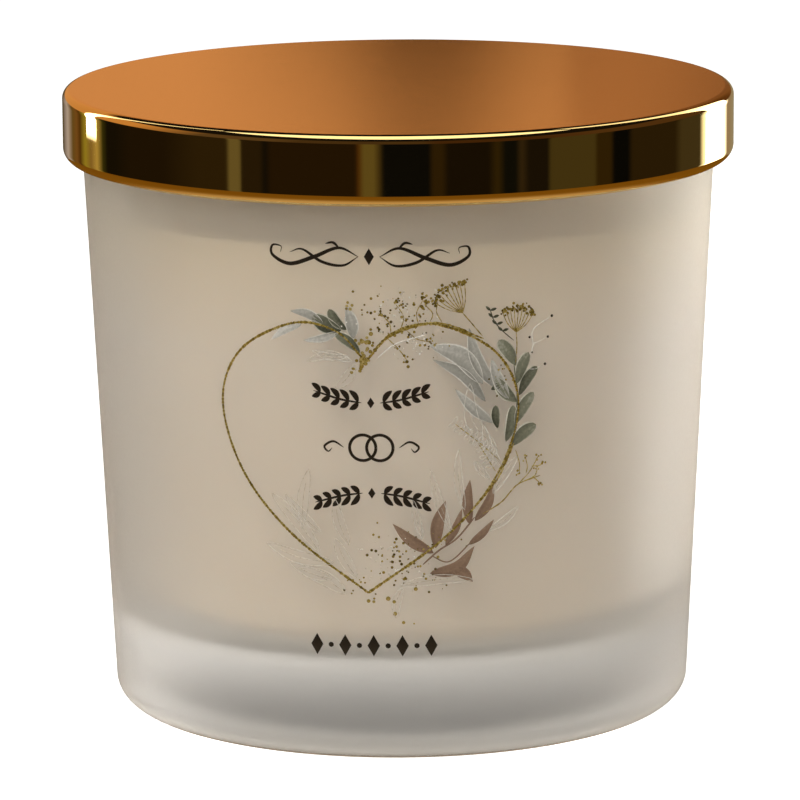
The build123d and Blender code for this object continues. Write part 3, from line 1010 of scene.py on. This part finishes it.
def make_floor():
    """Pale to the eye, shaded through the glass, and amber wood to the polished metal."""
    bpy.ops.mesh.primitive_plane_add(size=FLOOR_SIZE, location=(0, 0, -FLOOR_GAP))
    floor = bpy.context.object
    floor.name = "floor"
    shader = Shader("floor", Base_Color=(0.6, 0.6, 0.6, 1), Roughness=0.9)
    path = shader.add("LightPath").outputs
    lit = shader.emission((1, 1, 1, 1), shader.remap(path["Is Camera Ray"], 0, 1, 0.3, 0.92))
    pale = shader.add("AddShader", {0: shader.bsdf.outputs[0], 1: lit}).outputs[0]
    off = shader.vector("DISTANCE", shader.position(), SHADED_FLOOR)
    shade = by_distance(shader, off, 0.1, FLOOR_SHADE)
    heading = shader.add("VectorMath", {0: shader.position()}, operation="NORMALIZE").outputs[0]
    side = shader.remap(shader.vector("DOT_PRODUCT", heading, BRIGHT_FLOOR), 0.55, 0.85)
    far = shader.remap(shader.radius(), *SHEEN_STARTS)
    beneath = shader.emission(shader.blend(shader.times(side, far), shade, SHEEN))
    wood = shader.emission(by_distance(shader, shader.radius(), FLOOR_GLOW[-1][0], FLOOR_GLOW))
    seen = shader.choose(path["Is Glossy Ray"], pale, wood)
    shader.show(shader.choose(path["Is Transmission Ray"], seen, beneath))
    floor.data.materials.append(shader.material)


# What the lid's side sees round the room, in bands: from and to across the lid as the camera
# sees it, -1 at its left edge and 1 at its right edge, and colour.
SIDE_BANDS = (
    (-1.0, -0.994, (0.10, 0.07, 0.03)),
    (-0.988, -0.98, (0.42, 0.36, 0.36)),
    (-0.974, -0.966, (0.13, 0.08, 0.02)),
    (-0.962, -0.954, (0.17, 0.08, 0.02)),
    (-0.952, -0.944, (0.08, 0.035, 0.005)),
    (-0.936, -0.931, (0.29, 0.24, 0.03)),
    (-0.926, -0.907, (0.22, 0.14, 0.04)),
    (-0.902, -0.896, (0.42, 0.31, 0.09)),
    (-0.889, -0.874, (0.036, 0.034, 0.006)),
    (-0.868, -0.845, (0.008, 0.006, 0.003)),
    (-0.80, -0.70, (0.013, 0.008, 0.003)),
    (-0.60, -0.515, (0.024, 0.015, 0.005)),
    (-0.503, -0.475, (0.13, 0.105, 0.046)),
    (-0.467, -0.415, (0.019, 0.012, 0.005)),
    (-0.405, -0.392, (0.006, 0.005, 0.004)),
    (-0.38, -0.13, (0.016, 0.009, 0.003)),
    (-0.12, -0.116, (0.07, 0.03, 0.005)),
    (-0.104, -0.075, (0.11, 0.085, 0.027)),
    (-0.06, -0.056, (0.05, 0.035, 0.012)),
    (-0.045, 0.0, (0.004, 0.004, 0.004)),
    (0.0, 0.09, (0.004, 0.004, 0.004)),
    (0.105, 0.13, (0.025, 0.015, 0.004)),
    (0.15, 0.27, (0.009, 0.006, 0.003)),
    (0.29, 0.303, (0.028, 0.018, 0.004)),
    (0.32, 0.35, (0.005, 0.005, 0.004)),
    (0.362, 0.374, (0.030, 0.020, 0.010)),
    (0.39, 0.445, (0.010, 0.007, 0.004)),
    (0.457, 0.585, (0.055, 0.042, 0.015)),
    (0.595, 0.632, (0.028, 0.017, 0.004)),
    (0.645, 0.685, (0.003, 0.003, 0.003)),
    (0.70, 0.825, (0.022, 0.014, 0.005)),
    (0.845, 0.90, (0.05, 0.038, 0.018)),
    (0.917, 0.973, (2.2, 2.1, 1.8)),
    (0.977, 0.983, (0.30, 0.22, 0.14)),
    (0.995, 1.0, (0.30, 0.25, 0.15)),
)

# The wall behind, which the lid's top sees, in the same places.
WALL_BANDS = (
    (-1.0, -0.99, (0.66, 0.30, 0.10)),
    (-0.96, -0.80, (0.60, 0.28, 0.09)),
    (-0.6, -0.4, (0.10, 0.06, 0.03)),
    (-0.3, 0.0, (0.06, 0.034, 0.015)),
    (0.0, 0.4, (0.06, 0.034, 0.015)),
    (0.6, 0.9, (0.12, 0.07, 0.03)),
    (0.96, 0.985, (0.20, 0.08, 0.02)),
    (0.992, 1.0, (0.44, 0.18, 0.055)),
)
ROOM_RADIUS = 0.40
ROOM_HEIGHT = 0.75
NARROW = 0.02
WALL_FOOT = 0.11
WALL_TOP = 0.34
UNSEEN = (0.008, 0.006, 0.004)

# Two windows: from and to across the lid, and the sill's height.
WINDOWS = ((-0.929, -0.90, 0.036), (0.917, 0.973, 0.0))

# How the wall dims to the right: from and to across the room, in metres, and by how much.
DIM_SIDE = (0.05, 0.09, 0.0, 0.6)

# A dark post behind the candle shades the middle of the lid's top: its place across the room, and
# the heights between which it narrows and fades.
POST_PLACE = 0.007
POST_NARROWS = (0.150, 0.165, 0.056, 0.022)
POST_FADES = (0.153, 0.167, 1.0, 0.35)


def room_azimuth(place):
    """Direction in the room, in radians from the camera's side, seen at a place across the lid."""
    radius = LID_RADIUS * MM
    sight = math.atan(place * radius / math.sqrt(CAMERA_REACH**2 - radius**2))
    facing = math.asin(min(1.0, max(-1.0, CAMERA_REACH * math.sin(sight) / radius))) - sight
    heading = 2 * facing + sight
    return heading - math.asin(radius / ROOM_RADIUS * math.sin(heading - facing))


def bands_colour(shader, azimuth, bands):
    """Colour bands round the room, blended where they meet. Each half has a ramp of its own."""
    halves = []
    for side in (-1, 1):
        share = shader.remap(azimuth, min(0, side) * math.pi, max(0, side) * math.pi)
        stops = []
        for low, high, colour in bands:
            if side * (low + high) > 0:
                ends = (low, high) if high - low > NARROW else ((low + high) / 2,)
                stops += [(room_azimuth(end) / math.pi + (side < 0), colour) for end in ends]
        halves.append(shader.ramp(share, stops))
    return shader.blend(shader.math("GREATER_THAN", azimuth, 0.0), *halves)


def wall_colour(shader, azimuth):
    """The wall behind, with the post and a darker right side."""
    x, y, z = shader.axes()
    cosine, sine = math.cos(CAMERA_AZIMUTH), math.sin(CAMERA_AZIMUTH)
    across = shader.math("ADD", shader.times(x, cosine), shader.times(y, sine))
    wall = bands_colour(shader, azimuth, WALL_BANDS)
    wall = shader.blend(shader.remap(across, *DIM_SIDE), wall, (0.05, 0.015, 0.002))
    off = shader.math("ABSOLUTE", shader.math("SUBTRACT", across, POST_PLACE))
    reach = shader.math("DIVIDE", off, shader.remap(z, *POST_NARROWS))
    post = shader.times(shader.remap(reach, 1.0, 0.15), shader.math("GREATER_THAN", y, 0.0))
    post = shader.times(post, shader.remap(z, *POST_FADES))
    return shader.blend(post, wall, (0.012, 0.004, 0.001))


def room_colour(shader):
    """Bands round the lid's side, the wall over them, darkness at the top, and two windows."""
    x, y, z = shader.axes()
    turn = shader.math("ARCTAN2", x, shader.times(y, -1.0))
    azimuth = shader.math("SUBTRACT", turn, CAMERA_AZIMUTH)
    side = bands_colour(shader, azimuth, SIDE_BANDS)
    wall = wall_colour(shader, azimuth)
    tone = shader.blend(shader.remap(z, WALL_FOOT - 0.005, WALL_FOOT + 0.005), side, wall)
    tone = shader.blend(shader.remap(z, WALL_TOP - 0.02, WALL_TOP + 0.02), tone, UNSEEN)
    glare = shader.blend(shader.remap(z, WALL_FOOT, WALL_TOP), (6.0, 5.6, 5.0), (1.6, 1.45, 1.2))
    for low, high, sill in WINDOWS:
        right_of = shader.math("GREATER_THAN", azimuth, room_azimuth(low))
        inside = shader.times(right_of, shader.math("LESS_THAN", azimuth, room_azimuth(high)))
        lit = shader.times(inside, shader.remap(z, sill - MM, sill + MM))
        tone = shader.blend(lit, tone, glare)
    return tone


def make_room():
    """A dim round room that only reflections see."""
    sides = 96
    points = []
    for side in range(sides):
        angle = 2 * math.pi * side / sides
        for z in (0.0, ROOM_HEIGHT):
            points.append((ROOM_RADIUS * math.cos(angle) / MM, ROOM_RADIUS * math.sin(angle) / MM, z / MM))
    afters = [(side + 1) % sides for side in range(sides)]
    faces = [[2 * side, 2 * after, 2 * after + 1, 2 * side + 1] for side, after in enumerate(afters)]
    shader = Shader("room")
    shader.show(shader.emission(room_colour(shader)))
    only_reflected(make_object("room", points, faces, shader.material, smooth=False))


def make_ceiling():
    """The overhead softbox as the metal sees it."""
    corners = [(-0.5, 0.15), (0.42, 0.15), (0.42, -1.2), (-0.5, -1.2)]
    cosine, sine = math.cos(CAMERA_AZIMUTH), math.sin(CAMERA_AZIMUTH)
    points = [((x * cosine - y * sine) / MM, (x * sine + y * cosine) / MM, 800) for x, y in corners]
    shader = Shader("ceiling")
    shader.show(shader.emission((1.0, 0.97, 0.86, 1), 1.6))
    only_reflected(make_object("ceiling", points, [[0, 1, 2, 3]], shader.material, smooth=False))


# The world through the glass, from facing away from its brightest way (0) to facing it (1).
THROUGH_GLASS = (
    (0.26, (1.5, 1.47, 1.42)),
    (0.40, (1.15, 1.11, 1.05)),
    (0.55, (0.85, 0.81, 0.74)),
    (0.68, (0.68, 0.64, 0.57)),
    (0.82, (0.62, 0.58, 0.51)),
    (0.91, (0.95, 0.90, 0.83)),
    (0.96, (2.6, 2.53, 2.44)),
    (0.99, (6.5, 6.45, 6.35)),
)


def make_world():
    """White behind the candle and soft all round, but dark in reflections and warm through the glass."""
    world = bpy.data.worlds.new("studio")
    bpy.context.scene.world = world
    world.use_nodes = True
    world.node_tree.nodes.clear()
    sky = Nodes(world.node_tree)
    path = sky.add("LightPath").outputs
    heading = sky.add("TexCoord").outputs["Generated"]
    facing = sky.remap(sky.vector("DOT_PRODUCT", heading, BRIGHT_WORLD), -1, 1)
    seen = sky.add("Background", {"Color": (0.20, 0.182, 0.155, 1)}).outputs[0]
    for flag, colour in (
        ("Is Glossy Ray", (*UNSEEN, 1)),
        ("Is Transmission Ray", sky.ramp(facing, THROUGH_GLASS)),
        ("Is Camera Ray", (1, 1, 1, 1)),
    ):
        seen = sky.choose(path[flag], seen, sky.add("Background", {"Color": colour}).outputs[0])
    sky.add("OutputWorld", {0: seen})


make_floor()
make_room()
make_ceiling()
make_world()
softbox("key", -24, 0.9, 0.9, (0.8, 0.8), 6.0, (1.0, 0.99, 0.975))
softbox("right", 136, 0.6, 0.12, (0.3, 0.4), 2.8)

bpy.context.scene.view_settings.view_transform = "Standard"
